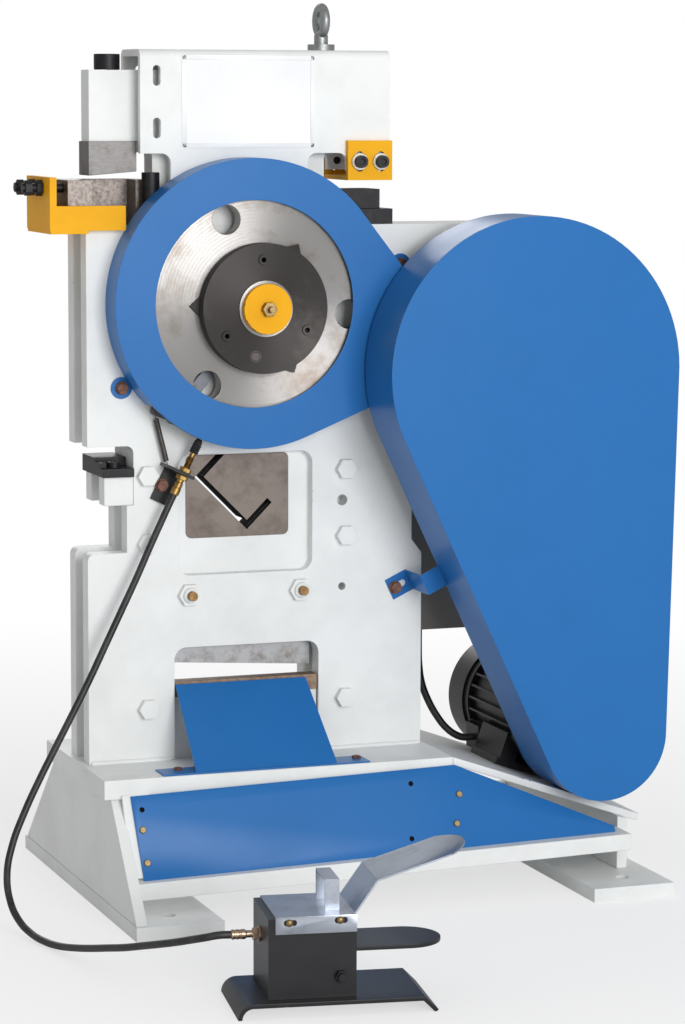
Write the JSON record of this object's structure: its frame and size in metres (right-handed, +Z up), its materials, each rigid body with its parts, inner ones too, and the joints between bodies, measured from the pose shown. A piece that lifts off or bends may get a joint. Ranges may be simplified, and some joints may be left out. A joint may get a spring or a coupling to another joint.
{
  "type": "mechanical ironworker",
  "caption": "Floor-standing mechanical ironworker with geared eccentric drive, notching, punching, section and flat shearing stations, and a cable foot pedal.",
  "frame": {"origin": "centre of the four anchor holes, on the floor", "axes": "+X to the right, +Y to the back, +Z up, seen from the front"},
  "size_m": [0.8944, 0.9563, 1.154],
  "materials": {
    "white_paint": "satin white machine paint, chipped at the edges",
    "blue_paint": "gloss blue enamel",
    "yellow_paint": "satin yellow paint, worn at the edges",
    "black_paint": "matt black paint",
    "grey_paint": "grey-brown hammered paint",
    "turned_steel": "turned bare steel with an oil film",
    "tool_steel": "ground tool steel, lightly rusted",
    "dark_steel": "blackened steel",
    "rusty_steel": "rusty zinc-plated steel",
    "stainless": "brushed stainless sheet",
    "cast_iron": "grey cast iron",
    "brass": "turned brass",
    "bronze": "bearing bronze",
    "rubber": "black rubber",
    "cord_sheath": "dark grey-brown plastic sheath",
    "label": "bare white-faced plate"
  },
  "bodies": {
    "machine": {"base_top_plate": "white_paint", "base_side_plates": "white_paint", "base_feet": "white_paint", "base_sills": "white_paint", "motor_plate": "white_paint", "front_plate": "white_paint", "rear_plate": "white_paint", "frame_spacers": "white_paint", "tie_bolts": "white_paint", "top_channel": "white_paint", "tool_ledge": "white_paint", "base_front_panel": "blue_paint", "gear_cover": "blue_paint", "belt_cover": "blue_paint", "belt_cover_bracket": "blue_paint", "rear_gear_cover": "blue_paint", "chute": "blue_paint", "notch_holder": "yellow_paint", "punch_die": "black_paint", "side_tool": "black_paint", "motor": "black_paint", "cable_bracket": "black_paint", "pedal_base": "black_paint", "pedal_box": "black_paint", "electrical_box": "grey_paint", "gib_screws": "turned_steel", "eye_bolt": "turned_steel", "trip_pin": "turned_steel", "trip_spring": "turned_steel", "stripper_screws": "turned_steel", "notch_die": "tool_steel", "section_die": "tool_steel", "lower_shear_blade": "tool_steel", "notch_set_screws": "dark_steel", "pedal_pin": "dark_steel", "cover_bolts": "rusty_steel", "pedal_cover": "stainless", "cable_adjuster": "brass", "cable_fitting": "brass", "shaft_bushes": "bronze", "drive_belts": "rubber", "motor_lead": "rubber", "trip_cable": "cord_sheath", "label_plate": "label"},
    "flywheel": {"flywheel": "cast_iron", "drive_shaft": "turned_steel"},
    "rotor": {"motor_rotor": "turned_steel"},
    "intermediate": {"intermediate_shaft": "turned_steel", "stage_wheel": "turned_steel"},
    "gear": {"main_gear": "turned_steel"},
    "eccentric": {"eccentric_shaft": "turned_steel", "clutch_disc": "dark_steel", "shaft_cap": "yellow_paint"},
    "ram": {"ram": "white_paint", "ram_tools": "tool_steel", "notch_blade": "turned_steel", "arm_bolt": "dark_steel"},
    "stripper": {"stripper_bracket": "yellow_paint"},
    "pedal": {"pedal_lever": "black_paint"},
    "trip": {"trip_lever": "dark_steel"}
  },
  "joints": [
    {"name": "flywheel_spin", "type": "hinge", "parent": "machine", "child": "flywheel", "pos_m": [0.18997, -0.1, 0.68408], "axis": [0, 1, 0], "continuous": true},
    {"name": "rotor_spin", "type": "hinge", "parent": "machine", "child": "rotor", "pos_m": [0.292, -0.1, 0.205], "axis": [0, 1, 0], "continuous": true},
    {"name": "intermediate_spin", "type": "hinge", "parent": "machine", "child": "intermediate", "pos_m": [0.04412, -0.02, 0.7191], "axis": [0, 1, 0], "continuous": true},
    {"name": "gear_spin", "type": "hinge", "parent": "machine", "child": "gear", "pos_m": [-0.148, -0.085, 0.767], "axis": [0, 1, 0], "continuous": true},
    {"name": "eccentric_spin", "type": "hinge", "parent": "machine", "child": "eccentric", "pos_m": [-0.148, -0.02, 0.767], "axis": [0, 1, 0], "continuous": true},
    {"name": "ram_slide", "type": "slide", "parent": "machine", "child": "ram", "axis": [0, 0, 1], "range_m": [-0.026, 0]},
    {"name": "stripper_slide", "type": "slide", "parent": "machine", "child": "stripper", "axis": [0, 0, 1], "range_m": [-0.005, 0.005]},
    {"name": "pedal_press", "type": "hinge", "parent": "machine", "child": "pedal", "pos_m": [-0.2269, -0.59778, 0.043], "axis": [0.1564, 0.9877, 0], "range_deg": [0, 10], "stiffness_Nm_per_rad": 4, "springref_deg": -14.32},
    {"name": "trip_turn", "type": "hinge", "parent": "machine", "child": "trip", "pos_m": [-0.255, -0.0675, 0.627], "axis": [0, 1, 0], "range_deg": [0, 4], "deforming": ["trip_spring"]}
  ],
  "couplings": [
    {"joint": "rotor_spin", "follows": "flywheel_spin", "ratio": 3.7174},
    {"joint": "intermediate_spin", "follows": "flywheel_spin", "ratio": -0.2931},
    {"joint": "gear_spin", "follows": "flywheel_spin", "ratio": 0.065134},
    {"joint": "trip_turn", "follows": "pedal_press", "ratio": 0.4}
  ]
}
